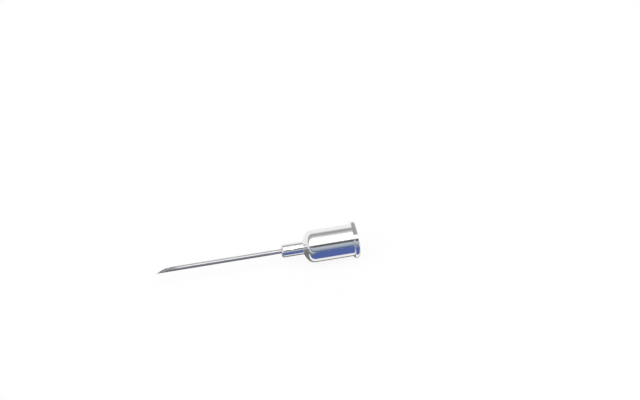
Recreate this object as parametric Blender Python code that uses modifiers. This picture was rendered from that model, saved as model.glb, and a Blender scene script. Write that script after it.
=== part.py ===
"""A hypodermic needle: a ground steel cannula crimped into a turned aluminium hub.

The hub has a six per cent taper socket and two lock lugs at its mouth. The needle lies on a table as
it comes to rest: on one flat of its lugs and on its shoulder, with the point clear of the table.

Each piece is turned about its own Z axis, with the mouth at z = 0 and the point far below it. The
empty called needle then lays both pieces down together, so that the mouth looks along +X.
"""

import math

import bmesh
import bpy
from mathutils import Matrix, Vector

MM = 0.001

# Hub, turned from bar
HUB_LENGTH = 15.4 * MM
BODY_DIAMETER = 6.5 * MM
NOSE_DIAMETER = 2.65 * MM
NOSE_LENGTH = 4.4 * MM
NOSE_CHAMFER = 0.3 * MM
SHOULDER_ANGLE = math.radians(60)  # the cone behind the nose, from the axis
SHOULDER_ROUNDING = 1.7 * MM
ROOT_FILLET = 0.25 * MM  # where the nose meets the shoulder

# Lock lugs: a rim with two flats milled off it
LUG_REACH = 0.45 * MM  # how far the lugs stand out of the body
LUG_THICKNESS = 1.0 * MM
LUG_EDGE_BREAK = 0.08 * MM
FLAT_ABOVE_BODY = 0.05 * MM  # the mill stops short of the body by this much

# Socket, from the mouth inwards
SOCKET_MOUTH_DIAMETER = 4.3 * MM
SOCKET_TAPER = 0.06  # loss of diameter for each unit of depth
SOCKET_DEPTH = 8.5 * MM
SOCKET_LEAD_IN = 0.15 * MM
DRILL_POINT_ANGLE = math.radians(59)  # half the cone that the drill leaves, from the axis

# Cannula, 20 gauge
CANNULA_OUTER_DIAMETER = 0.91 * MM
CANNULA_INNER_DIAMETER = 0.60 * MM
EXPOSED_LENGTH = 25.0 * MM
CANNULA_PROUD = 0.3 * MM  # how far its back end stands out of the socket's floor
CANNULA_END_BREAK = 0.04 * MM
BORE_CLEARANCE = 0.015 * MM  # between the cannula and the hub's bore, all round
BORE_LEAD_IN = 0.08 * MM  # the countersink that guides the cannula into the nose

# Point: one main grind and two side grinds that meet at the tip
BEVEL_ANGLE = math.radians(17)
LANCET_ANGLE = math.radians(26)
LANCET_TURN = math.radians(55)  # turn about the axis between the main grind and each side grind
LANCET_SETBACK = 0.19 * MM  # how much of the main grind's own tip the side grinds take off
POINT_TURN = math.radians(-25)  # where the tip sits round the axis, from straight down

# Crimp: four jaw marks that hold the cannula in the nose
CRIMP_JAWS = 4
CRIMP_DEPTH = 0.09 * MM
CRIMP_JAW_RADIUS = 1.3 * MM
CRIMP_FROM_END = 2.2 * MM
CRIMP_TURN = math.radians(25)  # where the first jaw presses, from straight down

# How finely the round shapes are cut into facets
HUB_FACETS = 72
CANNULA_FACETS = 32
ROUNDING_STEPS = 8
FILLET_STEPS = 4
JAW_FACETS = 48
SHARP_ANGLE = math.radians(20)  # edges that turn more than this are shaded as edges

# Worked out from the sizes above
BODY_RADIUS = BODY_DIAMETER / 2
NOSE_RADIUS = NOSE_DIAMETER / 2
LUG_RADIUS = BODY_RADIUS + LUG_REACH
FLAT_DISTANCE = BODY_RADIUS + FLAT_ABOVE_BODY
CANNULA_RADIUS = CANNULA_OUTER_DIAMETER / 2
LUMEN_RADIUS = CANNULA_INNER_DIAMETER / 2
BORE_RADIUS = CANNULA_RADIUS + BORE_CLEARANCE
SOCKET_END_RADIUS = (SOCKET_MOUTH_DIAMETER - SOCKET_TAPER * SOCKET_DEPTH) / 2
FLOOR_DEPTH = SOCKET_DEPTH + (SOCKET_END_RADIUS - BORE_RADIUS) / math.tan(DRILL_POINT_ANGLE)
TIP_Z = -(HUB_LENGTH + EXPOSED_LENGTH)
CANNULA_BACK_Z = CANNULA_PROUD - FLOOR_DEPTH


def clear_scene():
    for obj in list(bpy.data.objects):
        bpy.data.objects.remove(obj, do_unlink=True)


def new_collection(name):
    collection = bpy.data.collections.new(name)
    bpy.context.scene.collection.children.link(collection)
    return collection


def metal(name, colour, roughness):
    """A plain metal finish."""
    material = bpy.data.materials.new(name)
    material.use_nodes = True
    shader = material.node_tree.nodes["Principled BSDF"]
    shader.inputs["Base Color"].default_value = (*colour, 1.0)
    shader.inputs["Metallic"].default_value = 1.0
    shader.inputs["Roughness"].default_value = roughness
    return material


def arc(centre, radius, start, end, steps):
    """Points (r, z) along an arc, with angles taken from the outward direction towards +Z."""
    angles = [start + (end - start) * i / steps for i in range(steps + 1)]
    return [(centre[0] + radius * math.cos(a), centre[1] + radius * math.sin(a)) for a in angles]


def hub_outside():
    """The hub's outer line, from the rim of its mouth down to the end of its nose."""
    lug_front = -LUG_THICKNESS
    root_z = NOSE_LENGTH - HUB_LENGTH
    cone_top_z = root_z + (BODY_RADIUS - NOSE_RADIUS) / math.tan(SHOULDER_ANGLE)
    rounding_z = cone_top_z + SHOULDER_ROUNDING * math.tan(SHOULDER_ANGLE / 2)
    fillet_z = root_z - ROOT_FILLET * math.tan(SHOULDER_ANGLE / 2)
    rounding_centre = (BODY_RADIUS - SHOULDER_ROUNDING, rounding_z)
    fillet_centre = (NOSE_RADIUS + ROOT_FILLET, fillet_z)
    return [
        (LUG_RADIUS - LUG_EDGE_BREAK, 0),
        (LUG_RADIUS, -LUG_EDGE_BREAK),
        (LUG_RADIUS, lug_front + LUG_EDGE_BREAK),
        (LUG_RADIUS - LUG_EDGE_BREAK, lug_front),
        (BODY_RADIUS, lug_front),
        *arc(rounding_centre, SHOULDER_ROUNDING, 0, -SHOULDER_ANGLE, ROUNDING_STEPS),
        *arc(fillet_centre, ROOT_FILLET, math.pi - SHOULDER_ANGLE, math.pi, FILLET_STEPS),
        (NOSE_RADIUS, NOSE_CHAMFER - HUB_LENGTH),
        (NOSE_RADIUS - NOSE_CHAMFER, -HUB_LENGTH),
    ]


def hub_inside():
    """The hub's inner line, from the end of its nose up the bore and the taper socket to its mouth."""
    mouth_radius = SOCKET_MOUTH_DIAMETER / 2
    return [
        (BORE_RADIUS + BORE_LEAD_IN, -HUB_LENGTH),
        (BORE_RADIUS, BORE_LEAD_IN - HUB_LENGTH),
        (BORE_RADIUS, -FLOOR_DEPTH),
        (SOCKET_END_RADIUS, -SOCKET_DEPTH),
        (mouth_radius - SOCKET_TAPER * SOCKET_LEAD_IN / 2, -SOCKET_LEAD_IN),
        (mouth_radius + SOCKET_LEAD_IN, 0),
    ]


def cannula_section():
    """The cannula's wall, cut lengthwise, with its back end deburred."""
    return [
        (CANNULA_RADIUS - CANNULA_END_BREAK, CANNULA_BACK_Z),
        (CANNULA_RADIUS, CANNULA_BACK_Z - CANNULA_END_BREAK),
        (CANNULA_RADIUS, TIP_Z - LANCET_SETBACK),
        (LUMEN_RADIUS, TIP_Z - LANCET_SETBACK),
        (LUMEN_RADIUS, CANNULA_BACK_Z - CANNULA_END_BREAK),
        (LUMEN_RADIUS + CANNULA_END_BREAK, CANNULA_BACK_Z),
    ]


def resting_tilt():
    """How far the point dips when the hub lies on a lug flat and on its shoulder at once."""
    in_front = [(r, z) for r, z in hub_outside() if z < -LUG_THICKNESS]
    return min(math.atan2(FLAT_DISTANCE - r, -LUG_THICKNESS - z) for r, z in in_front)


def add_object(name, mesh, collection, parent):
    obj = bpy.data.objects.new(name, mesh)
    obj.parent = parent
    collection.objects.link(obj)
    return obj


def turned(name, section, facets, collection, parent):
    """A closed section (r, z) turned about Z, with a flat facet, not an edge, towards +X."""
    count = len(section)
    edges = [(i, (i + 1) % count) for i in range(count)]
    mesh = bpy.data.meshes.new(name)
    mesh.from_pydata([(r, 0, z) for r, z in section], edges, [])
    obj = add_object(name, mesh, collection, parent)
    screw = obj.modifiers.new("turn", "SCREW")
    screw.axis = "Z"
    screw.angle = math.tau
    screw.steps = facets
    screw.render_steps = facets
    screw.use_merge_vertices = False
    obj.rotation_euler.z = math.pi / facets
    return obj


def add_cutter(name, shape, collection, parent):
    """A helper solid that only removes material."""
    mesh = bpy.data.meshes.new(name)
    shape.to_mesh(mesh)
    shape.free()
    cutter = add_object(name, mesh, collection, parent)
    cutter.display_type = "WIRE"
    cutter.hide_render = True
    return cutter


def cut(target, cutter):
    boolean = target.modifiers.new(cutter.name, "BOOLEAN")
    boolean.operation = "DIFFERENCE"
    boolean.solver = "EXACT"
    boolean.object = cutter


def flat_cutter(name, turn, collection, parent):
    """A block that mills one flat on the lug rim, at FLAT_DISTANCE from the axis."""
    side = 2 * LUG_RADIUS
    shape = bmesh.new()
    bmesh.ops.create_cube(shape, size=side)
    bmesh.ops.translate(shape, verts=shape.verts, vec=(FLAT_DISTANCE + side / 2, 0, 0))
    cutter = add_cutter(name, shape, collection, parent)
    cutter.rotation_euler.z = turn
    return cutter


def jaw_cutter(name, turn, collection, parent):
    """A roller across the nose that presses one crimp mark into it."""
    shape = bmesh.new()
    bmesh.ops.create_cone(
        shape,
        cap_ends=True,
        segments=JAW_FACETS,
        radius1=CRIMP_JAW_RADIUS,
        radius2=CRIMP_JAW_RADIUS,
        depth=NOSE_DIAMETER,
    )
    lay_across = Matrix.Rotation(math.pi / 2, 4, "X")
    reach = NOSE_RADIUS - CRIMP_DEPTH + CRIMP_JAW_RADIUS
    place = Matrix.Translation((reach, 0, CRIMP_FROM_END - HUB_LENGTH))
    bmesh.ops.transform(shape, matrix=place @ lay_across, verts=shape.verts)
    cutter = add_cutter(name, shape, collection, parent)
    cutter.rotation_euler.z = turn
    return cutter


def grind_cutter(name, turn, angle, tip_z, collection, parent):
    """A block whose top face is one grind of the point.

    The face leans by angle from the axis. It crosses the wall's outer corner on the +X side at tip_z,
    and turn swings the grind about the axis, with that corner kept.
    """
    side = 4 * CANNULA_OUTER_DIAMETER / math.sin(angle)
    shape = bmesh.new()
    bmesh.ops.create_cube(shape, size=side)
    bmesh.ops.translate(shape, verts=shape.verts, vec=(0, 0, -side / 2))
    lean = Matrix.Rotation(math.pi / 2 - angle, 4, "Y")
    swing = Matrix.Rotation(turn, 4, "Z")
    corner = Matrix.Translation((CANNULA_RADIUS, 0, tip_z))
    bmesh.ops.transform(shape, matrix=corner @ swing @ lean, verts=shape.verts)
    return add_cutter(name, shape, collection, parent)


def build_hub(parts, cutters, needle):
    hub = turned("hub", hub_outside() + hub_inside(), HUB_FACETS, parts, needle)
    for name, turn in (("lower_lug_flat", 0), ("upper_lug_flat", math.pi)):
        cut(hub, flat_cutter(name, turn, cutters, needle))
    for jaw in range(CRIMP_JAWS):
        turn = CRIMP_TURN + jaw * math.tau / CRIMP_JAWS
        cut(hub, jaw_cutter(f"crimp_jaw_{jaw + 1}", turn, cutters, needle))
    hub.data.materials.append(metal("turned_aluminium", (0.80, 0.80, 0.82), 0.18))
    return hub


def build_cannula(parts, cutters, needle):
    cannula = turned("cannula", cannula_section(), CANNULA_FACETS, parts, needle)
    main_tip_z = TIP_Z - LANCET_SETBACK
    grinds = [
        ("main_grind", 0, BEVEL_ANGLE, main_tip_z),
        ("left_grind", LANCET_TURN, LANCET_ANGLE, TIP_Z),
        ("right_grind", -LANCET_TURN, LANCET_ANGLE, TIP_Z),
    ]
    for name, turn, angle, tip_z in grinds:
        cutter = grind_cutter(name, turn, angle, tip_z, cutters, needle)
        cutter.rotation_euler.z = POINT_TURN
        cut(cannula, cutter)
    cannula.rotation_euler.z = POINT_TURN
    cannula.data.materials.append(metal("drawn_steel", (0.62, 0.62, 0.63), 0.22))
    return cannula


def apply_modifiers(obj):
    """Turn the modifiers into mesh, so that smooth shading can stop at the edges."""
    graph = bpy.context.evaluated_depsgraph_get()
    mesh = bpy.data.meshes.new_from_object(obj.evaluated_get(graph))
    obj.modifiers.clear()
    obj.data = mesh
    mesh.name = obj.name
    mesh.shade_smooth()
    mesh.set_sharp_from_angle(angle=SHARP_ANGLE)


def lay_down(needle, pieces):
    """Tip the needle over onto the table, with the middle of its footprint at the origin."""
    needle.rotation_euler.y = math.pi / 2 - resting_tilt()
    bpy.context.view_layer.update()
    corners = [piece.matrix_world @ vertex.co for piece in pieces for vertex in piece.data.vertices]
    low = Vector(min(corner[axis] for corner in corners) for axis in range(3))
    high = Vector(max(corner[axis] for corner in corners) for axis in range(3))
    needle.location = (-(low.x + high.x) / 2, -(low.y + high.y) / 2, -low.z)


def main():
    clear_scene()
    parts = new_collection("hypodermic_needle")
    cutters = new_collection("cutters")
    needle = add_object("needle", None, parts, None)
    pieces = [build_hub(parts, cutters, needle), build_cannula(parts, cutters, needle)]
    bpy.context.view_layer.update()
    for piece in pieces:
        apply_modifiers(piece)
    lay_down(needle, pieces)


main()
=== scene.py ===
# %% [markdown]
# # A hypodermic needle in bare metal
#
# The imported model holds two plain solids: an aluminium hub with a taper socket, and a steel cannula
# that is crimped into the hub's nose. They have the right sizes, but their round walls are flat facets
# and their edges are knife sharp. In this lesson each of them is made again as a fine mesh of the same
# form, gets the finish that its machine leaves on it, and lies under a soft light on a pale table.
#
# The model is loaded first, because it is the frame that every later step measures from.

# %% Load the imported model
import math

import bpy
import numpy as np
from mathutils import Matrix, Vector


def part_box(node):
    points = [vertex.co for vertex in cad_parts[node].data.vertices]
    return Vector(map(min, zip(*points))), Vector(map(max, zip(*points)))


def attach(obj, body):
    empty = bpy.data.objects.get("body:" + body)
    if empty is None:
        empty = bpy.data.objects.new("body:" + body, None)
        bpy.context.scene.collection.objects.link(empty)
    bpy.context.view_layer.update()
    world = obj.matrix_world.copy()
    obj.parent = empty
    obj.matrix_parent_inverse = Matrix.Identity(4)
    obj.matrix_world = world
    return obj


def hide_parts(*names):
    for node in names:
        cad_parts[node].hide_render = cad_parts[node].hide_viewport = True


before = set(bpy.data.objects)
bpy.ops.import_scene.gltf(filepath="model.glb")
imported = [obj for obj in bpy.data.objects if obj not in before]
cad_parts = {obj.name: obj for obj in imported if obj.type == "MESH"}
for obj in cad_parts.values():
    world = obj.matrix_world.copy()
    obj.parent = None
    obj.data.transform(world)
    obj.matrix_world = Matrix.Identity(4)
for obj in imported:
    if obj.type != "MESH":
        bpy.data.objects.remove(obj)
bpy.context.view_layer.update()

MM = 0.001

# %% [markdown]
# ## The sizes of the turned hub
#
# A lathe hand reads the hub as one outline: the rim of the two lock lugs, the body, a rounded shoulder
# and a thin nose, then back inside through the cannula's bore and a six per cent taper socket. The
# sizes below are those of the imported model. Only the edge roundings are new, because no turned edge
# is truly sharp, and a rounded edge is what catches the light.
#
# The rim's diameter is not typed in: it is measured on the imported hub, so the fine hub can't be wider.

# %% Sizes of the hub
hub_low, hub_high = (Vector(corner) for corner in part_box("hub"))

HUB_LENGTH = 15.4 * MM
BODY_RADIUS = 3.25 * MM
NOSE_RADIUS = 1.325 * MM
NOSE_LENGTH = 4.4 * MM
NOSE_CHAMFER = 0.3 * MM
SHOULDER_ANGLE = math.radians(60)  # the cone behind the nose, from the axis
SHOULDER_ROUNDING = 1.7 * MM
NOSE_ROOT_FILLET = 0.25 * MM
LUG_RADIUS = (hub_high.y - hub_low.y) / 2
LUG_THICKNESS = 1.0 * MM
LUG_MOUTH_ROUNDING = 0.40 * MM
LUG_FRONT_ROUNDING = 0.30 * MM
LUG_ROOT_FILLET = 0.16 * MM
FLAT_DISTANCE = 3.30 * MM  # from the axis to each milled flat
SOCKET_MOUTH_RADIUS = 2.15 * MM
SOCKET_TAPER = 0.06  # loss of diameter for each unit of depth
SOCKET_DEPTH = 8.5 * MM
SOCKET_LEAD_IN = 0.15 * MM
SOCKET_FLOOR_ROUNDING = 0.12 * MM
DRILL_POINT_ANGLE = math.radians(59)
SMALL_EDGE = 0.03 * MM  # what a file stroke takes off a corner

CANNULA_RADIUS = 0.455 * MM
LUMEN_RADIUS = 0.30 * MM
EXPOSED_LENGTH = 25.0 * MM
CANNULA_PROUD = 0.3 * MM
CANNULA_END_BREAK = 0.04 * MM
BORE_RADIUS = CANNULA_RADIUS + 0.015 * MM
BORE_LEAD_IN = 0.08 * MM

SOCKET_END_RADIUS = SOCKET_MOUTH_RADIUS - SOCKET_TAPER * SOCKET_DEPTH / 2
FLOOR_DEPTH = SOCKET_DEPTH + (SOCKET_END_RADIUS - BORE_RADIUS) / math.tan(DRILL_POINT_ANGLE)
SHOULDER_CORNER_Z = NOSE_LENGTH - HUB_LENGTH + (BODY_RADIUS - NOSE_RADIUS) / math.tan(SHOULDER_ANGLE)
print(f"rim {2 * LUG_RADIUS / MM:.2f} mm across, socket floor {FLOOR_DEPTH / MM:.2f} mm deep")

# %% [markdown]
# ## How the needle lies
#
# Both pieces are turned about their own Z axis, with the mouth at zero and the point far below it. On
# the table the needle lies on one flat of its lugs and on its shoulder, which dips the point by a third
# of a degree. The tilt follows from those two contacts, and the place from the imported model's box. The
# resting place is written as one matrix, and each mesh is laid down with it when it is finished.

# %% Work out the resting place
shoulder_start_z = SHOULDER_CORNER_Z + SHOULDER_ROUNDING * math.tan(SHOULDER_ANGLE / 2)
tilt = math.atan2(FLAT_DISTANCE - BODY_RADIUS, -LUG_THICKNESS - shoulder_start_z)
rest_place = Vector((
    hub_high.x - FLAT_DISTANCE * math.sin(tilt),
    (hub_low.y + hub_high.y) / 2,
    FLAT_DISTANCE * math.cos(tilt) + LUG_THICKNESS * math.sin(tilt),
))
laid_down = Matrix.Translation(rest_place) @ Matrix.Rotation(math.pi / 2 - tilt, 4, "Y")
print(f"tilt {math.degrees(tilt):.3f} degrees, axis {rest_place.z / MM:.3f} mm above the table at the mouth")

# %% [markdown]
# ## One outline with rounded corners
#
# The outline could be drawn point by point, but then every rounding is a hand-made list. Here each
# corner is written as a turner's note, radius from the axis, place along the axis and how much the
# corner is rounded, and a helper puts an arc in place of the corner.
#
# Long straight stretches are then divided, so that the mesh has points where the crimp will push in.


# %% Round the corners of an outline
def rounded(corners, degrees_a_step=9):
    """A closed outline in which each corner (r, z, rounding) becomes an arc that touches both its sides."""
    outline = []
    for index, (r, z, rounding) in enumerate(corners):
        corner = Vector((r, z))
        before = (Vector(corners[index - 1][:2]) - corner).normalized()
        after = (Vector(corners[(index + 1) % len(corners)][:2]) - corner).normalized()
        half = before.angle(after) / 2
        turn = math.pi - 2 * half
        centre = corner + (before + after).normalized() * rounding / math.sin(half)
        start = corner + before * rounding / math.tan(half) - centre
        end = corner + after * rounding / math.tan(half) - centre
        side = math.copysign(1, start.cross(end))
        steps = max(2, math.ceil(math.degrees(turn) / degrees_a_step))
        for step in range(steps + 1):
            swing = Matrix.Rotation(side * turn * step / steps, 2)
            outline.append(tuple(centre + swing @ start))
    return outline


def divided(outline, spacing_at):
    """The closed outline with points added, so that no two lie further apart than spacing_at(z)."""
    points = []
    for index, (r, z) in enumerate(outline):
        next_r, next_z = outline[(index + 1) % len(outline)]
        length = math.hypot(next_r - r, next_z - z)
        spacing = min(spacing_at(z), spacing_at(next_z), spacing_at((z + next_z) / 2))
        pieces = max(1, math.ceil(length / spacing))
        for piece in range(pieces):
            share = piece / pieces
            points.append((r + (next_r - r) * share, z + (next_z - z) * share))
    return points


# %% Write the hub's outline
def hub_corners():
    """The hub cut lengthwise, from the rim of its mouth down the outside and back up the inside."""
    mouth_wall = SOCKET_MOUTH_RADIUS - SOCKET_TAPER * SOCKET_LEAD_IN / 2
    return [
        (LUG_RADIUS, 0, LUG_MOUTH_ROUNDING),
        (LUG_RADIUS, -LUG_THICKNESS, LUG_FRONT_ROUNDING),
        (BODY_RADIUS, -LUG_THICKNESS, LUG_ROOT_FILLET),
        (BODY_RADIUS, SHOULDER_CORNER_Z, SHOULDER_ROUNDING),
        (NOSE_RADIUS, NOSE_LENGTH - HUB_LENGTH, NOSE_ROOT_FILLET),
        (NOSE_RADIUS, NOSE_CHAMFER - HUB_LENGTH, SMALL_EDGE),
        (NOSE_RADIUS - NOSE_CHAMFER, -HUB_LENGTH, SMALL_EDGE),
        (BORE_RADIUS + BORE_LEAD_IN, -HUB_LENGTH, SMALL_EDGE / 3),
        (BORE_RADIUS, BORE_LEAD_IN - HUB_LENGTH, SMALL_EDGE / 3),
        (BORE_RADIUS, -FLOOR_DEPTH, SMALL_EDGE),
        (SOCKET_END_RADIUS, -SOCKET_DEPTH, SOCKET_FLOOR_ROUNDING),
        (mouth_wall, -SOCKET_LEAD_IN, SMALL_EDGE),
        (SOCKET_MOUTH_RADIUS + SOCKET_LEAD_IN, 0, SMALL_EDGE),
    ]


CRIMP_Z = 2.2 * MM - HUB_LENGTH
CRIMP_REACH = 0.65 * MM


def hub_spacing(z):
    return 0.06 * MM if abs(z - CRIMP_Z) < CRIMP_REACH else 0.4 * MM


hub_outline = divided(rounded(hub_corners()), hub_spacing)
print("hub outline:", len(hub_outline), "points")

# %% [markdown]
# ## Turning, milling and crimping in one pass
#
# A Screw modifier would turn this outline, and Boolean cutters would mill the two flats and press the
# crimp. Booleans leave the cut edges sharp, though, and the real ones are not: the mill is followed by
# a tumble, and the crimp's jaws push metal aside instead of cutting it.
#
# So the outline is turned in code, and each point is then drawn in towards the axis as far as the flat
# or the jaw would push it. A soft minimum of two distances does this, and it rounds the edge where one
# takes over from the other. More columns of points stand where the flats begin, to keep that edge crisp.


# %% Turn an outline about its axis
def soft_min(first, second, softness):
    """The smaller of two lengths, rounded off where they meet."""
    return (first + second - np.sqrt((first - second) ** 2 + softness**2)) / 2


def turned(name, outline, angles, shaping=None):
    """A mesh object with the closed outline (r, z) repeated at each angle, reshaped by shaping."""
    rings = len(outline)
    columns = len(angles)
    angle = np.array(angles)[None, :]
    radius = np.repeat(np.array([r for r, _ in outline])[:, None], columns, axis=1)
    height = np.repeat(np.array([z for _, z in outline])[:, None], columns, axis=1)
    if shaping:
        radius = shaping(radius, height, angle)
    points = np.stack([radius * np.cos(angle), radius * np.sin(angle), height], axis=-1)
    ring, column = np.meshgrid(np.arange(rings), np.arange(columns), indexing="ij")
    next_ring = (ring + 1) % rings
    next_column = (column + 1) % columns
    corners = [
        ring * columns + column,
        next_ring * columns + column,
        next_ring * columns + next_column,
        ring * columns + next_column,
    ]
    faces = np.stack(corners, axis=-1).reshape(-1, 4)
    mesh = bpy.data.meshes.new(name)
    mesh.from_pydata(points.reshape(-1, 3).tolist(), [], faces.tolist())
    mesh.validate()
    obj = bpy.data.objects.new(name, mesh)
    bpy.context.scene.collection.objects.link(obj)
    return obj


# %% Shape the rim and the crimp
FLAT_TURNS = (0, math.pi)
FLAT_EDGE_TURN = math.acos(FLAT_DISTANCE / LUG_RADIUS)
FLAT_EDGE_SOFTNESS = 0.03 * MM
CRIMP_JAWS = 4
CRIMP_DEPTH = 0.05 * MM
CRIMP_JAW_RADIUS = 1.3 * MM
CRIMP_TURN = math.radians(25)
CRIMP_SOFTNESS = 0.012 * MM
FAR_AWAY = 1.0


def flattened_rim(radius, height, angle):
    """Draw the lug rim in to its two flats, and keep its edge roundings in proportion."""
    facing = np.maximum(np.abs(np.cos(angle)), 0.1)
    limit = soft_min(LUG_RADIUS, FLAT_DISTANCE / facing, FLAT_EDGE_SOFTNESS)
    mouth_half = height > -LUG_THICKNESS / 2
    inner = np.where(mouth_half, SOCKET_MOUTH_RADIUS + SOCKET_LEAD_IN, BODY_RADIUS)
    on_rim = (height > -LUG_THICKNESS - 1.01 * LUG_ROOT_FILLET) & (radius > inner)
    share = (radius - inner) / (LUG_RADIUS - inner)
    return np.where(on_rim, inner + share * (limit - inner), radius)


def crimped_nose(radius, height, angle):
    """Press one round jaw after another into the nose."""
    along = np.clip((height - CRIMP_Z) / CRIMP_JAW_RADIUS, -1, 1)
    jaw_face = NOSE_RADIUS - CRIMP_DEPTH + CRIMP_JAW_RADIUS * (1 - np.sqrt(1 - along**2))
    for jaw in range(CRIMP_JAWS):
        facing = np.cos(angle - CRIMP_TURN - jaw * math.tau / CRIMP_JAWS)
        reached = (np.abs(along) < 1) & (facing > 0.5)
        limit = np.where(reached, jaw_face / np.maximum(facing, 0.5), FAR_AWAY)
        radius = np.where(reached, soft_min(radius, limit, CRIMP_SOFTNESS), radius)
    return radius


def hub_shaping(radius, height, angle):
    return crimped_nose(flattened_rim(radius, height, angle), height, angle)


def hub_angles(even=288, close_step=math.radians(0.25), close_steps=8):
    """Even angles round the hub, with close ones where the flats begin."""
    edges = [turn + side * FLAT_EDGE_TURN for turn in FLAT_TURNS for side in (-1, 1)]
    spread = close_step * (close_steps + 1)
    base = [math.tau * step / even for step in range(even)]
    kept = [a for a in base if all(abs(math.remainder(a - edge, math.tau)) > spread for edge in edges)]
    close = [edge + close_step * k for edge in edges for k in range(-close_steps, close_steps + 1)]
    return sorted(angle % math.tau for angle in kept + close)


hub = turned("turned_hub", hub_outline, hub_angles(), hub_shaping)
print("hub mesh:", len(hub.data.polygons), "four-sided faces")

# %% [markdown]
# ## Drawing and grinding the cannula
#
# The cannula is a drawn tube with a lancet point: a long main grind makes the slope and two short side
# grinds make the cutting edges. The ends of the tube's walls could be worked out by formula, but the
# grinder's own way is simpler and gives true creases: three blocks, each with one face lying in a
# grind, are taken away from the tube with the Boolean modifier.
#
# Each block carries the ground finish as its material. The modifier hands it over to the faces that
# the block leaves, so the point gets its own look without picking any faces by hand.

# %% Draw the tube
TIP_Z = -(HUB_LENGTH + EXPOSED_LENGTH)
CANNULA_BACK_Z = CANNULA_PROUD - FLOOR_DEPTH
BEVEL_ANGLE = math.radians(17)
LANCET_ANGLE = math.radians(26)
LANCET_TURN = math.radians(55)
LANCET_SETBACK = 0.19 * MM
POINT_TURN = math.radians(-25)


def cannula_corners():
    """The tube's wall cut lengthwise, with its back end deburred."""
    return [
        (CANNULA_RADIUS, CANNULA_BACK_Z, CANNULA_END_BREAK),
        (CANNULA_RADIUS, TIP_Z - LANCET_SETBACK, SMALL_EDGE),
        (LUMEN_RADIUS, TIP_Z - LANCET_SETBACK, SMALL_EDGE),
        (LUMEN_RADIUS, CANNULA_BACK_Z, CANNULA_END_BREAK),
    ]


def even_angles(count):
    return [math.tau * (step + 0.5) / count for step in range(count)]


def tube_spacing(z):
    return 1.0 * MM


cannula_outline = divided(rounded(cannula_corners(), 15), tube_spacing)
cannula = turned("ground_cannula", cannula_outline, even_angles(96))
print(f"tube {(CANNULA_BACK_Z - TIP_Z) / MM:.2f} mm long, {len(cannula.data.polygons)} faces")

# %% [markdown]
# ## A small bench for building materials
#
# Each finish below is a chain of texture nodes. A few helpers keep the chains short: one adds a node,
# one does arithmetic with sockets or numbers, and one spreads a texture between two values.


# %% Helpers for material nodes
PER_MM = 1 / MM  # textures are scaled by how often they repeat in a millimetre


class Finish:
    """A metal material, and short ways to add nodes to it."""

    def __init__(self, name, colour, roughness, anisotropic=0.0):
        self.material = bpy.data.materials.new(name)
        self.material.use_nodes = True
        self.tree = self.material.node_tree
        self.shader = self.tree.nodes["Principled BSDF"]
        self.shader.inputs["Base Color"].default_value = (*colour, 1.0)
        self.shader.inputs["Metallic"].default_value = 1.0
        self.shader.inputs["Roughness"].default_value = roughness
        self.shader.inputs["Anisotropic"].default_value = anisotropic

    def add(self, kind, **settings):
        node = self.tree.nodes.new(kind)
        for name, value in settings.items():
            setattr(node, name, value)
        return node

    def feed(self, socket, value):
        """Link a socket to another, or set its value."""
        if isinstance(value, bpy.types.NodeSocket):
            self.tree.links.new(value, socket)
        else:
            socket.default_value = value

    def maths(self, operation, first, second=0.0):
        node = self.add("ShaderNodeMath", operation=operation)
        self.feed(node.inputs[0], first)
        self.feed(node.inputs[1], second)
        return node.outputs[0]

    def spread(self, value, from_low, from_high, to_low, to_high):
        """Map a texture's range onto another, and hold it there."""
        node = self.add("ShaderNodeMapRange")
        for name, number in (
            ("From Min", from_low),
            ("From Max", from_high),
            ("To Min", to_low),
            ("To Max", to_high),
        ):
            node.inputs[name].default_value = number
        self.feed(node.inputs["Value"], value)
        return node.outputs["Result"]

    def noise(self, vector, scale, detail=2.0, roughness=0.5):
        node = self.add("ShaderNodeTexNoise")
        self.feed(node.inputs["Vector"], vector)
        node.inputs["Scale"].default_value = scale
        node.inputs["Detail"].default_value = detail
        node.inputs["Roughness"].default_value = roughness
        return node.outputs["Fac"]

    def axis_place(self):
        """Coordinates that stand up along the needle's axis again, and the distance from that axis."""
        lying = self.add("ShaderNodeTexCoord").outputs["Object"]
        stand_up = laid_down.inverted()
        upright = self.add("ShaderNodeMapping")
        upright.inputs["Location"].default_value = stand_up.to_translation()
        upright.inputs["Rotation"].default_value = stand_up.to_euler()
        self.feed(upright.inputs["Vector"], lying)
        place = upright.outputs["Vector"]
        apart = self.add("ShaderNodeSeparateXYZ")
        self.feed(apart.inputs[0], place)
        across = self.maths("SQRT", self.maths(
            "ADD",
            self.maths("MULTIPLY", apart.outputs["X"], apart.outputs["X"]),
            self.maths("MULTIPLY", apart.outputs["Y"], apart.outputs["Y"]),
        ))
        return place, apart, across

    def stretched(self, x, y, z):
        """A vector made of three sockets or numbers."""
        node = self.add("ShaderNodeCombineXYZ")
        for socket, value in zip(node.inputs, (x, y, z)):
            self.feed(socket, value)
        return node.outputs[0]

    def colour_between(self, share, dull, bright):
        node = self.add("ShaderNodeMix", data_type="RGBA")
        self.feed(node.inputs["Factor"], share)
        node.inputs["A"].default_value = (*dull, 1.0)
        node.inputs["B"].default_value = (*bright, 1.0)
        self.feed(self.shader.inputs["Base Color"], node.outputs["Result"])

    def bump(self, height, depth, normal=None):
        node = self.add("ShaderNodeBump")
        node.inputs["Strength"].default_value = 1.0
        node.inputs["Distance"].default_value = depth
        self.feed(node.inputs["Height"], height)
        if normal:
            self.feed(node.inputs["Normal"], normal)
        return node.outputs["Normal"]


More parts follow.
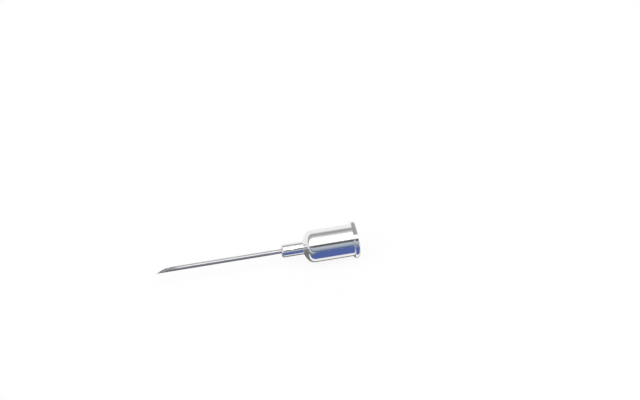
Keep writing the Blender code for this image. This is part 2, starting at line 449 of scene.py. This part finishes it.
# %% [markdown]
# ## Turned aluminium
#
# The lathe tool leaves a fine spiral round the whole hub. Close by, it shows as hair lines round the
# body and as rings on the end faces. From a step away the lines melt together and only stretch the
# reflections along the axis.
#
# Plain noise would give grain with no direction. Here the noise is fed with the distance travelled by
# the tool, along the axis on the body and along the radius on a face, so one recipe draws lines on the
# body and rings on the faces. Handling adds broad dull patches, where skin has touched the metal.


# %% Mix the aluminium
def turned_aluminium():
    finish = Finish("turned_aluminium", (0.86, 0.86, 0.87), 0.12, anisotropic=0.5)
    round_the_axis = finish.add("ShaderNodeTangent", direction_type="RADIAL", axis="X")
    finish.feed(finish.shader.inputs["Tangent"], round_the_axis.outputs[0])
    finish.shader.inputs["Anisotropic Rotation"].default_value = 0.25  # along the needle, across the lines
    place, apart, across = finish.axis_place()
    travel = finish.maths("SUBTRACT", apart.outputs["Z"], across)
    fine = finish.stretched(
        finish.maths("MULTIPLY", travel, 22 * PER_MM),
        finish.maths("MULTIPLY", apart.outputs["X"], 0.5 * PER_MM),
        finish.maths("MULTIPLY", apart.outputs["Y"], 0.5 * PER_MM),
    )
    lines = finish.noise(fine, 1.0, detail=2.0)
    broad = finish.stretched(
        finish.maths("MULTIPLY", travel, 2.5 * PER_MM),
        finish.maths("MULTIPLY", apart.outputs["X"], 0.12 * PER_MM),
        finish.maths("MULTIPLY", apart.outputs["Y"], 0.12 * PER_MM),
    )
    bands = finish.noise(broad, 1.0, detail=3.0)
    touched = finish.noise(place, 0.35 * PER_MM, detail=4.0, roughness=0.6)
    finish.colour_between(finish.spread(touched, 0.3, 0.7, 0, 1), (0.82, 0.82, 0.835), (0.89, 0.89, 0.895))
    tool_lines = finish.spread(lines, 0.3, 0.7, 0.07, 0.12)
    skin_marks = finish.spread(touched, 0.45, 0.7, 0.0, 0.06)
    finish.feed(finish.shader.inputs["Roughness"], finish.maths("ADD", tool_lines, skin_marks))
    waviness = finish.bump(bands, 0.0004 * MM)
    finish.feed(finish.shader.inputs["Normal"], finish.bump(lines, 0.0003 * MM, waviness))
    return finish.material


hub.data.materials.append(turned_aluminium())
print("hub finish:", hub.data.materials[0].name)

# %% [markdown]
# ## Drawn and ground steel
#
# The tube is pulled through a die, so its hair lines run along it. The point is then ground on a wheel
# whose grit leaves lines straight across each slope, and it stays a little duller than the tube.


# %% Mix the two steels
def drawn_steel():
    finish = Finish("drawn_steel", (0.66, 0.66, 0.67), 0.2, anisotropic=0.0)
    place, apart, _ = finish.axis_place()
    drawn = finish.stretched(
        finish.maths("MULTIPLY", apart.outputs["X"], 14 * PER_MM),
        finish.maths("MULTIPLY", apart.outputs["Y"], 14 * PER_MM),
        finish.maths("MULTIPLY", apart.outputs["Z"], 0.2 * PER_MM),
    )
    lines = finish.noise(drawn, 1.0, detail=2.0)
    cloud = finish.noise(place, 0.5 * PER_MM, detail=3.0)
    finish.colour_between(finish.spread(cloud, 0.3, 0.7, 0, 1), (0.52, 0.52, 0.53), (0.60, 0.60, 0.61))
    finish.feed(finish.shader.inputs["Roughness"], finish.spread(lines, 0.3, 0.7, 0.24, 0.34))
    finish.feed(finish.shader.inputs["Normal"], finish.bump(lines, 0.0004 * MM))
    return finish.material


def ground_steel():
    finish = Finish("ground_steel", (0.70, 0.70, 0.71), 0.25)
    _, apart, _ = finish.axis_place()
    grit = finish.stretched(
        finish.maths("MULTIPLY", apart.outputs["X"], 2 * PER_MM),
        finish.maths("MULTIPLY", apart.outputs["Y"], 2 * PER_MM),
        finish.maths("MULTIPLY", apart.outputs["Z"], 30 * PER_MM),
    )
    lines = finish.noise(grit, 1.0, detail=2.0)
    finish.colour_between(lines, (0.62, 0.62, 0.63), (0.76, 0.76, 0.77))
    finish.feed(finish.shader.inputs["Roughness"], finish.spread(lines, 0.3, 0.7, 0.18, 0.32))
    finish.feed(finish.shader.inputs["Normal"], finish.bump(lines, 0.0006 * MM))
    return finish.material


cannula.data.materials.append(drawn_steel())
ground_finish = ground_steel()
print("cannula finishes:", cannula.data.materials[0].name, "and", ground_finish.name)


# %% Grind the point
def grinding_block(name, turn, angle, tip_z):
    """A block whose top face leans by angle from the axis and meets the tube's lowest corner at tip_z."""
    side = 8 * CANNULA_RADIUS / math.sin(angle)
    half = side / 2
    corners = [(x, y, z) for z in (-side, 0) for y in (-half, half) for x in (-half, half)]
    walls = [(0, 2, 3, 1), (4, 5, 7, 6), (0, 1, 5, 4), (2, 6, 7, 3), (0, 4, 6, 2), (1, 3, 7, 5)]
    mesh = bpy.data.meshes.new(name)
    mesh.from_pydata(corners, [], walls)
    lean = Matrix.Rotation(math.pi / 2 - angle, 4, "Y")
    swing = Matrix.Rotation(turn, 4, "Z")
    to_corner = Matrix.Translation((CANNULA_RADIUS, 0, tip_z))
    mesh.transform(Matrix.Rotation(POINT_TURN, 4, "Z") @ to_corner @ swing @ lean)
    mesh.materials.append(ground_finish)
    block = bpy.data.objects.new(name, mesh)
    bpy.context.scene.collection.objects.link(block)
    return block


def ground(obj, blocks):
    """Take the blocks away from the object, and keep the result as its mesh."""
    for block in blocks:
        grind = obj.modifiers.new(block.name, "BOOLEAN")
        grind.operation = "DIFFERENCE"
        grind.solver = "EXACT"
        grind.material_mode = "TRANSFER"
        grind.object = block
    graph = bpy.context.evaluated_depsgraph_get()
    mesh = bpy.data.meshes.new_from_object(obj.evaluated_get(graph))
    obj.modifiers.clear()
    obj.data = mesh
    for block in blocks:
        bpy.data.objects.remove(block, do_unlink=True)


grinds = [
    ("main_grind", 0, BEVEL_ANGLE, TIP_Z - LANCET_SETBACK),
    ("left_grind", LANCET_TURN, LANCET_ANGLE, TIP_Z),
    ("right_grind", -LANCET_TURN, LANCET_ANGLE, TIP_Z),
]
ground(cannula, [grinding_block(*grind) for grind in grinds])
ground_faces = [face for face in cannula.data.polygons if face.material_index == 1]
print("point:", len(ground_faces), "ground faces in", [slot.name for slot in cannula.data.materials])

# %% [markdown]
# ## Smooth where it was turned, crisp where it was cut
#
# Smooth shading blends the normals of neighbouring faces, and at a tight rounding it can drag a shadow
# over the large face beside it. The Weighted Normal modifier gives the large face its say, so cylinders
# look round and flats look flat. Edges sharper than the limit stay sharp.

# %% Shade both pieces
SHARP_ANGLE = math.radians(25)


def shade(obj):
    obj.data.shade_smooth()
    obj.data.set_sharp_from_angle(angle=SHARP_ANGLE)
    weighted = obj.modifiers.new("weighted_normals", "WEIGHTED_NORMAL")
    weighted.keep_sharp = True


for piece in (hub, cannula):
    shade(piece)
    print(piece.name, "has", sum(edge.use_edge_sharp for edge in piece.data.edges), "sharp edges")

# %% [markdown]
# ## Lay the needle down
#
# The resting place goes into the points of the meshes, so both objects stay at the origin, as the
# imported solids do. Then the pieces are handed to the frame: they ride on its one body and stand for its
# two solids, which are no longer shown.

# %% Place both pieces
for piece, node, slot in ((hub, "hub", "hub_aluminium"), (cannula, "cannula", "cannula_steel")):
    piece.data.transform(laid_down)
    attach(piece, "root")
    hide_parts(node)
    points = np.array([tuple(vertex.co) for vertex in piece.data.vertices])
    low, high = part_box(node)
    print(node, "differs from the model's box by", np.round((points.min(axis=0) - low) / MM, 4),
          np.round((points.max(axis=0) - high) / MM, 4), "mm")

# %% [markdown]
# ## The table
#
# Bright metal shows its surroundings more than itself, so the table matters. It is a wide, matt, almost
# white sheet. Its colour makes it white, not extra light, and so the needle's soft shadow stays on it.
# Low walls of the same sheet close it off, so that a view from near the table also ends in white.

# %% Lay the table
TABLE_HALF = 3.0
WALL_DISTANCE = 1.2
WALL_HEIGHT = 0.2
OVEREXPOSURE = 0.9  # how much of the table's white the photograph has washed out


def pale_table():
    finish = Finish("pale_table", (0.97, 0.97, 0.975), 0.9)
    finish.shader.inputs["Metallic"].default_value = 0.0
    finish.shader.inputs["Specular IOR Level"].default_value = 0.0
    place = finish.add("ShaderNodeTexCoord").outputs["Object"]
    cloud = finish.noise(place, 40, detail=3.0)
    finish.colour_between(cloud, (0.965, 0.965, 0.97), (0.98, 0.98, 0.983))
    glow = finish.add("ShaderNodeEmission")
    glow.inputs["Color"].default_value = (1.0, 1.0, 1.0, 1.0)
    ray = finish.add("ShaderNodeLightPath").outputs
    mirrored = finish.maths("ADD", ray["Is Glossy Ray"], ray["Is Transmission Ray"])
    seen = finish.maths("MINIMUM", finish.maths("ADD", ray["Is Camera Ray"], mirrored), 1.0)
    mixed = finish.add("ShaderNodeMixShader")
    finish.feed(mixed.inputs[0], finish.maths("MULTIPLY", seen, OVEREXPOSURE))
    finish.tree.links.new(finish.shader.outputs[0], mixed.inputs[1])
    finish.tree.links.new(glow.outputs[0], mixed.inputs[2])
    finish.tree.links.new(mixed.outputs[0], finish.tree.nodes["Material Output"].inputs["Surface"])
    return finish.material


def lay_sheet(name, corners, faces, material):
    mesh = bpy.data.meshes.new(name)
    mesh.from_pydata(corners, [], faces)
    mesh.materials.append(material)
    sheet = bpy.data.objects.new(name, mesh)
    bpy.context.scene.collection.objects.link(sheet)
    return sheet


def build_wall(name, path, material):
    corners = [(x * WALL_DISTANCE, y * WALL_DISTANCE, z) for z in (0, WALL_HEIGHT) for x, y in path]
    count = len(path)
    panels = [(i, i + 1, i + 1 + count, i + count) for i in range(count - 1)]
    return lay_sheet(name, corners, panels, material)


paper = pale_table()
table_corners = [(x * TABLE_HALF, y * TABLE_HALF, 0) for x, y in ((-1, -1), (1, -1), (1, 1), (-1, 1))]
lay_sheet("table", table_corners, [(0, 1, 2, 3)], paper)
build_wall("far_wall", ((1, -0.2), (1, 1), (-1, 1), (-1, -0.2)), paper)
near_wall = build_wall("near_wall", ((-1, -0.2), (-1, -1), (1, -1), (1, -0.2)), paper)
near_wall.visible_glossy = False  # on that side the metal sees the room
print(f"table {2 * TABLE_HALF} m wide, with walls {WALL_HEIGHT} m high")

# %% [markdown]
# ## The light
#
# A cylinder of bright metal shows the room as stripes along its length. Seen from above at a slant, it
# shows the far side of the room in its upper edge, the ceiling in its middle and the viewer's side in
# its lower half. So the room holds the few things that such a picture is taken among: a dim bluish side
# near the viewer, haze above it, the dark shape of the camera, a bright ceiling, a grey band, and the
# white wall on the far side.
#
# They are drawn in the world by the angle round the needle's axis, from the viewer's horizon over the
# zenith to the far one. Each has one plain colour, and the world fades from one to the next. The soft
# light overhead is a real area lamp, so the needle gets its shadow.

# %% Draw the room
NEAR_SIDE = (0.1, 0.15, 0.3)
HAZE = (0.5, 0.55, 0.6)
CAMERA_SHAPE = (0.1, 0.1, 0.1)
CEILING = (1.1, 1.1, 1.1)
GREY_BAND = (0.4, 0.4, 0.4)
FAR_WALL = (1.0, 1.0, 1.0)
ROOM = (  # what is seen, and between which degrees from the viewer's horizon over the zenith
    (NEAR_SIDE, 0, 5),
    (HAZE, 25, 35),
    (CAMERA_SHAPE, 40, 50),
    (CEILING, 55, 100),
    (GREY_BAND, 125, 140),
    (FAR_WALL, 155, 180),
)



def draw_room():
    world = bpy.data.worlds.new("room")
    bpy.context.scene.world = world
    world.use_nodes = True
    tree = world.node_tree
    direction = tree.nodes.new("ShaderNodeTexCoord").outputs["Generated"]
    apart = tree.nodes.new("ShaderNodeSeparateXYZ")
    tree.links.new(direction, apart.inputs[0])
    backwards = tree.nodes.new("ShaderNodeMath")
    backwards.operation = "MULTIPLY"
    backwards.inputs[1].default_value = -1
    tree.links.new(apart.outputs["Y"], backwards.inputs[0])
    angle = tree.nodes.new("ShaderNodeMath")
    angle.operation = "ARCTAN2"
    tree.links.new(apart.outputs["Z"], angle.inputs[0])
    tree.links.new(backwards.outputs[0], angle.inputs[1])
    share = tree.nodes.new("ShaderNodeMath")
    share.operation = "DIVIDE"
    share.inputs[1].default_value = math.pi
    tree.links.new(angle.outputs[0], share.inputs[0])
    ramp = tree.nodes.new("ShaderNodeValToRGB")
    stops = ramp.color_ramp.elements
    while len(stops) > 1:
        stops.remove(stops[-1])
    edges = [(degrees, colour) for colour, *span in ROOM for degrees in span]
    for index, (degrees, colour) in enumerate(edges):
        stop = stops[0] if index == 0 else stops.new(degrees / 180)
        stop.position = degrees / 180
        stop.color = (*colour, 1.0)
    tree.links.new(share.outputs[0], ramp.inputs["Fac"])
    tree.links.new(ramp.outputs["Color"], tree.nodes["Background"].inputs["Color"])
    return world


print("room:", draw_room().name, "with", len(ROOM), "things in it")

# %% Hang the overhead light
LIGHT_DISTANCE = 1.0
LIGHT_FROM = math.radians(57)  # seen from the needle, from the viewer's horizon
LIGHT_TO = math.radians(102)
LIGHT_LENGTH = 4.0
LIGHT_RADIANCE = 0.7


def hang_light():
    """A soft rectangular lamp, as wide as the angles say, facing the needle."""
    middle = (LIGHT_FROM + LIGHT_TO) / 2
    width = 2 * LIGHT_DISTANCE * math.tan((LIGHT_TO - LIGHT_FROM) / 2)
    data = bpy.data.lights.new("overhead_light", "AREA")
    data.shape = "RECTANGLE"
    data.size = LIGHT_LENGTH
    data.size_y = width
    data.energy = LIGHT_RADIANCE * math.pi * LIGHT_LENGTH * width
    lamp = bpy.data.objects.new("overhead_light", data)
    lamp.location = (0, -LIGHT_DISTANCE * math.cos(middle), LIGHT_DISTANCE * math.sin(middle))
    lamp.rotation_euler.x = math.pi / 2 - middle
    bpy.context.scene.collection.objects.link(lamp)
    return lamp


print(f"overhead light of {hang_light().data.energy:.1f} W")

# %% [markdown]
# ## The painted reflection cards
#
# The lower half of the body mirrors something dark blue in front of it, and the cannula something grey.
# Neither can be seen on the table itself, which is washed out to white. So a blue and a grey card lie
# there for the metal alone, as painted reflections: they glow evenly and neither light nor shade
# anything. A third one is painted shade, in place of the hub's own shade on the table, which the white
# paper doesn't show to the metal. Between it and the blue card a strip of white table is left, and
# makes the line of light along the foot of the body. A last grey card over the point is a painted dark
# reflection: the point's ground slope would mirror the bright ceiling otherwise and be lost against the
# white table.
#
# Seen from above, a mirrored ray drifts along the needle as it leaves, so the edge between the grey and
# the blue card leans in the same way.

# %% Lay the painted reflection cards
# colours of the painted reflections and of the painted shade, seen by the metal alone
BLUE_REFLECTION = (0.1, 0.15, 0.4)
GREY_REFLECTION = (0.25, 0.25, 0.25)
SHADE = (0.2, 0.2, 0.2)
CARD_HEIGHT = 0.1 * MM
CARD_REACH = 2.9  # just short of the table's edge
SLANT = 0.145  # how far a mirrored ray drifts along the needle for each step away from it
TIP_SIDE = -24.0 * MM
NOSE_SIDE = 3.0 * MM
MOUTH_SIDE = 40.0 * MM
SHADE_FRONT = -3.0 * MM
BLUE_FRONT = -5.0 * MM
POINT_SIDE = -36.0 * MM
POINT_END = -18.0 * MM
POINT_BACK = 15.0 * MM
POINT_FRONT = -10.0 * MM
POINT_HEIGHT = 10.0 * MM


def lay_reflection_card(name, colour, left, right, back, front, height=CARD_HEIGHT):
    """A level card that glows for the metal alone as a painted reflection, given by its four edges."""
    material = bpy.data.materials.new(name)
    material.use_nodes = True
    tree = material.node_tree
    tree.nodes.remove(tree.nodes["Principled BSDF"])
    glow = tree.nodes.new("ShaderNodeEmission")
    glow.inputs["Color"].default_value = (*colour, 1.0)
    tree.links.new(glow.outputs[0], tree.nodes["Material Output"].inputs["Surface"])
    edges = ((left, back), (left, front), (right, front), (right, back))
    corners = [(x + SLANT * abs(y), y, height) for x, y in edges]
    card = lay_sheet(name, corners, [(0, 1, 2, 3)], material)
    card.visible_camera = False
    card.visible_diffuse = False
    card.visible_shadow = False
    return card


# painted reflection: grey, mirrored in the cannula
lay_reflection_card("painted_grey_reflection", GREY_REFLECTION, TIP_SIDE, NOSE_SIDE, 0, -CARD_REACH)
# painted reflection: dark blue, mirrored in the lower half of the body
lay_reflection_card("painted_blue_reflection", BLUE_REFLECTION, NOSE_SIDE, MOUTH_SIDE, BLUE_FRONT, -CARD_REACH)
# painted shade: a dark card mirrored at the foot of the hub in place of its own shade
lay_reflection_card("shade_card", SHADE, NOSE_SIDE, MOUTH_SIDE, 0, SHADE_FRONT)
# painted reflection: grey, hung over the point so that its ground slope mirrors dark
lay_reflection_card("painted_point_reflection", GREY_REFLECTION, POINT_SIDE, POINT_END, POINT_BACK, POINT_FRONT, POINT_HEIGHT)

# %% [markdown]
# ## The camera
#
# The camera looks down at the needle from its left. Two marks on the photograph, the tip and the middle
# of the mouth, tell where it stood: for a given direction of view each mark gives two equations that are
# linear in the camera's place. The turn that leaves the least over is the right one.

# %% Find the camera
IMAGE_WIDTH = 640
IMAGE_HEIGHT = 400
TIP_PIXEL = (156.7, 273.65)
MOUTH_PIXEL = (356.7, 239.0)
ELEVATION = math.radians(48)
LENS = 100.0
SENSOR = 36.0


def camera_axes(azimuth):
    forward = Vector((
        -math.sin(azimuth) * math.cos(ELEVATION),
        math.cos(azimuth) * math.cos(ELEVATION),
        -math.sin(ELEVATION),
    ))
    right = Vector((math.cos(azimuth), math.sin(azimuth), 0))
    return forward, right, right.cross(forward)


def camera_place(azimuth, marks):
    """The place from which the marks fall on their pixels, and how far they miss."""
    forward, right, up = camera_axes(azimuth)
    focal = IMAGE_WIDTH * LENS / SENSOR
    rows = []
    sides = []
    for point, (x, y) in marks:
        level = right - forward * (x - IMAGE_WIDTH / 2) / focal
        upright = up + forward * (y - IMAGE_HEIGHT / 2) / focal
        for row in (level, upright):
            rows.append(tuple(row))
            sides.append(row.dot(point))
    place, missed, _, _ = np.linalg.lstsq(np.array(rows), np.array(sides), rcond=None)
    return Vector(place), float(missed[0])


def find_camera(marks):
    best = 0.0
    for step in (1.0, 0.1, 0.01):
        tries = [best + step * k for k in range(-20, 21)]
        best = min(tries, key=lambda turn: camera_place(math.radians(turn), marks)[1])
    return math.radians(best)


tip = laid_down @ Vector((
    CANNULA_RADIUS * math.cos(POINT_TURN),
    CANNULA_RADIUS * math.sin(POINT_TURN),
    TIP_Z,
))
mouth = laid_down @ Vector((0, 0, 0))
marks = [(tip, TIP_PIXEL), (mouth, MOUTH_PIXEL)]
azimuth = find_camera(marks)
place, _ = camera_place(azimuth, marks)
forward, right, up = camera_axes(azimuth)
camera_data = bpy.data.cameras.new("camera")
camera_data.lens = LENS
camera_data.sensor_width = SENSOR
camera_data.clip_start = 0.01
camera = bpy.data.objects.new("camera", camera_data)
camera.matrix_world = Matrix.Translation(place) @ Matrix((right, up, -forward)).transposed().to_4x4()
bpy.context.scene.collection.objects.link(camera)
bpy.context.scene.camera = camera
distance = (mouth - place).length
print(f"camera turned {math.degrees(azimuth):.2f} degrees, {distance / MM:.0f} mm from the mouth")

# %% Finish
bpy.context.scene.view_settings.view_transform = "Standard"
